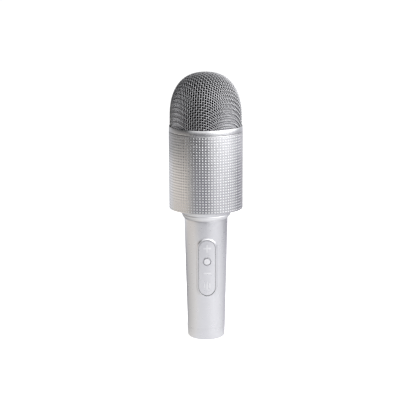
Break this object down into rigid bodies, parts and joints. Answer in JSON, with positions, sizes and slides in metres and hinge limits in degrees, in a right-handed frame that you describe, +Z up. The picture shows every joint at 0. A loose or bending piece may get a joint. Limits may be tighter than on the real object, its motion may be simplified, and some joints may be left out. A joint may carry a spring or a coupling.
{
  "type": "karaoke microphone",
  "caption": "Hand-held karaoke microphone with a woven wire grille that screws on, a perforated loudspeaker head, a tapered handle with a keypad, and a battery and board inside.",
  "frame": {"origin": "middle of the flat foot of the handle, on the axis that every turned piece shares", "axes": "+Z up the microphone's axis from the foot to the crown of the grille, -Y the side that the keys face, +X to the right of someone who looks at the keys"},
  "size_m": [0.069, 0.069, 0.2525],
  "materials": {
    "silver_paint": "satin metallic silver paint",
    "satin_silver": "satin metallic silver paint",
    "key_silver": "satin metallic silver paint",
    "pearl_plastic": "pearl silver",
    "steel_wire": "plain woven round wire",
    "black_foam": "open-cell foam",
    "grey_cloth": "fine acoustic cloth",
    "black_plastic": "moulded, matt",
    "plated_steel": "nickel plated",
    "zinc_screw": "zinc plated",
    "capsule_metal": "drawn, matt",
    "black_rubber": "moulded, matt",
    "cone_paper": "pressed paper, black",
    "spider_cloth": "corrugated, resin treated",
    "copper_coil": "enamelled copper wire",
    "ferrite": "sintered, matt",
    "board_green": "solder mask",
    "battery_wrap": "heat-shrink wrap",
    "lead_black": "smooth insulation",
    "lead_red": "smooth insulation"
  },
  "bodies": {
    "housing": {"handle_shell": "silver_paint", "end_cap": "silver_paint", "keypad": "silver_paint", "speaker_cup": "silver_paint", "speaker_sleeve": "satin_silver", "neck_ring": "pearl_plastic", "driver_gasket": "black_foam", "sleeve_cloth": "grey_cloth", "head_frame": "black_plastic", "capsule_deck": "black_plastic", "capsule_holder": "black_plastic", "battery_cradle": "black_plastic", "audio_jack": "black_plastic", "usb_tongue": "black_plastic", "usb_socket": "plated_steel", "driver_basket": "plated_steel", "top_plate": "plated_steel", "pole_yoke": "plated_steel", "capsule_cover": "plated_steel", "radio_module": "plated_steel", "plus_switch": "plated_steel", "power_switch": "plated_steel", "minus_switch": "plated_steel", "mode_switch": "plated_steel", "end_cap_screw_1": "zinc_screw", "end_cap_screw_2": "zinc_screw", "frame_screw_1": "zinc_screw", "frame_screw_2": "zinc_screw", "frame_screw_3": "zinc_screw", "frame_screw_4": "zinc_screw", "driver_screw_1": "zinc_screw", "driver_screw_2": "zinc_screw", "driver_screw_3": "zinc_screw", "driver_screw_4": "zinc_screw", "capsule_body": "capsule_metal", "shock_mount": "black_rubber", "grille_seal": "black_rubber", "cone_surround": "black_rubber", "spider": "spider_cloth", "magnet": "ferrite", "main_board": "board_green", "battery": "battery_wrap", "microphone_lead": "lead_black", "speaker_lead_black": "lead_black", "speaker_lead_red": "lead_red"},
    "plus_button": {"plus_key": "key_silver", "plus_plunger": "black_plastic"},
    "power_button": {"power_key": "key_silver", "power_plunger": "black_plastic"},
    "minus_button": {"minus_key": "key_silver", "minus_plunger": "black_plastic"},
    "mode_button": {"mode_key": "key_silver", "mode_plunger": "black_plastic"},
    "cone": {"speaker_cone": "cone_paper", "voice_coil": "copper_coil", "dust_cap": "cone_paper"},
    "windscreen": {"foam_liner": "black_foam"},
    "grille": {"grille_dome": "steel_wire", "grille_ring": "satin_silver"}
  },
  "joints": [
    {"name": "plus_press", "type": "slide", "parent": "housing", "child": "plus_button", "axis": [0, 1, 0], "range_m": [0, 0.0005], "stiffness_N_per_m": 3000, "springref_m": -0.0002},
    {"name": "power_press", "type": "slide", "parent": "housing", "child": "power_button", "axis": [0, 1, 0], "range_m": [0, 0.0005], "stiffness_N_per_m": 3000, "springref_m": -0.0002},
    {"name": "minus_press", "type": "slide", "parent": "housing", "child": "minus_button", "axis": [0, 1, 0], "range_m": [0, 0.0005], "stiffness_N_per_m": 3000, "springref_m": -0.0002},
    {"name": "mode_press", "type": "slide", "parent": "housing", "child": "mode_button", "axis": [0, 1, 0], "range_m": [0, 0.0005], "stiffness_N_per_m": 3000, "springref_m": -0.0002},
    {"name": "cone_stroke", "type": "slide", "parent": "housing", "child": "cone", "axis": [0, 0, 1], "range_m": [-0.001, 0.001], "stiffness_N_per_m": 900, "deforming": ["cone_surround"]},
    {"name": "grille_lift", "type": "slide", "parent": "housing", "child": "windscreen", "axis": [0, 0, 1], "range_m": [0, 0.00351]},
    {"name": "grille_turn", "type": "hinge", "parent": "windscreen", "child": "grille", "pos_m": [0, 0, 0.2], "axis": [0, 0, 1], "range_deg": [0, 630]}
  ],
  "couplings": [
    {"joint": "grille_lift", "follows": "grille_turn", "m_per_rad": 0.00031831}
  ]
}
